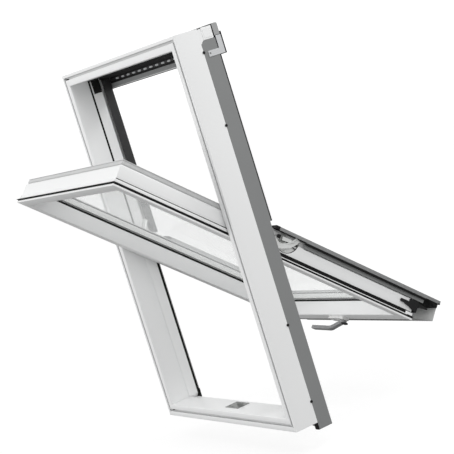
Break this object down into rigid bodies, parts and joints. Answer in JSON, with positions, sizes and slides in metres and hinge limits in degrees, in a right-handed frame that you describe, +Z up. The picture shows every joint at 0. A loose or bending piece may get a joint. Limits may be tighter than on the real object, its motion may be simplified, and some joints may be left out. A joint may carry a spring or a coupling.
{
  "type": "roof window",
  "caption": "Roof window whose double-glazed sash turns about its middle in a white fixed frame, with a lever handle and metal covers.",
  "frame": {"origin": "middle of the fixed frame's lower edge, on its interior face", "axes": "+X along the width, +Y outdoors, +Z up the window"},
  "size_m": [0.783, 0.9497, 1.206],
  "materials": {
    "frame_plastic": "smooth satin white",
    "sash_plastic": "smooth satin white",
    "grey_cladding": "matt grey coating",
    "dark_metal": "matt dark grey coating",
    "cover_aluminium": "fine ribs, satin",
    "cap_aluminium": "smooth, satin",
    "pane_glass": "clear",
    "spacer_metal": "satin",
    "black_rubber": "matt",
    "black_plastic": "matt",
    "handle_metal": "satin grey coating",
    "handle_plastic": "smooth",
    "bracket_steel": "light grey coating",
    "keeper_steel": "satin, zinc plated",
    "hinge_steel": "zinc plated"
  },
  "bodies": {
    "frame": {"frame_head": "frame_plastic", "frame_sill": "frame_plastic", "frame_stile_left": "frame_plastic", "frame_stile_right": "frame_plastic", "side_cladding_left": "grey_cladding", "side_cladding_right": "grey_cladding", "sill_cladding": "grey_cladding", "upper_cover_left": "dark_metal", "upper_cover_right": "dark_metal", "head_casing": "cover_aluminium", "casing_apron": "dark_metal", "vent_bar": "dark_metal", "head_end_blocks": "frame_plastic", "frame_gasket": "black_rubber", "lower_gasket_left": "black_rubber", "lower_gasket_right": "black_rubber", "corner_seals": "black_rubber", "bottom_end_seals": "black_rubber", "cladding_screws": "black_plastic", "keeper_plate": "keeper_steel", "keeper_screws": "keeper_steel", "bracket_left": "bracket_steel", "bracket_right": "bracket_steel", "frame_hinge_left": "hinge_steel", "frame_hinge_right": "hinge_steel", "frame_hinge_screws": "hinge_steel"},
    "hinge_sliders": {"hinge_slider_left": "hinge_steel", "hinge_slider_right": "hinge_steel"},
    "sash": {"sash_top_rail": "sash_plastic", "sash_bottom_rail": "sash_plastic", "sash_stile_left": "sash_plastic", "sash_stile_right": "sash_plastic", "inner_pane": "pane_glass", "outer_pane": "pane_glass", "glass_spacer": "spacer_metal", "glazing_gasket_inner": "black_rubber", "glazing_gasket_outer": "black_rubber", "glazing_cap_top": "cap_aluminium", "glazing_cap_bottom": "cap_aluminium", "glazing_cap_left": "cap_aluminium", "glazing_cap_right": "cap_aluminium", "sash_gasket": "black_rubber", "lower_rib_seals": "black_rubber", "sash_cover_left": "cover_aluminium", "sash_cover_right": "cover_aluminium", "cover_rails": "grey_cladding", "cover_seals": "black_rubber", "cover_end_caps": "black_plastic", "bottom_cover": "cap_aluminium", "front_seal": "black_rubber", "corner_blocks": "black_plastic", "sash_hinge_plate_left": "hinge_steel", "sash_hinge_plate_right": "hinge_steel", "sash_hinge_arm_left": "hinge_steel", "sash_hinge_arm_right": "hinge_steel", "sash_hinge_screws": "hinge_steel", "handle_base": "handle_plastic", "handle_screws": "hinge_steel"},
    "handle": {"handle_lever": "handle_metal", "latch_tongue": "black_plastic"}
  },
  "joints": [
    {"name": "sash_pivot", "type": "hinge", "parent": "frame", "child": "sash", "pos_m": [0, 0.1904, 0.598], "axis": [1, 0, 0], "range_deg": [-50, 60]},
    {"name": "slider_turn", "type": "hinge", "parent": "frame", "child": "hinge_sliders", "pos_m": [0, 0.1904, 0.598], "axis": [1, 0, 0], "range_deg": [-25, 30]},
    {"name": "handle_turn", "type": "hinge", "parent": "sash", "child": "handle", "pos_m": [0.022, 0.49919, 0.15235], "axis": [0, 0.6428, 0.766], "range_deg": [0, 90]}
  ],
  "couplings": [
    {"joint": "slider_turn", "follows": "sash_pivot", "ratio": 0.5}
  ]
}
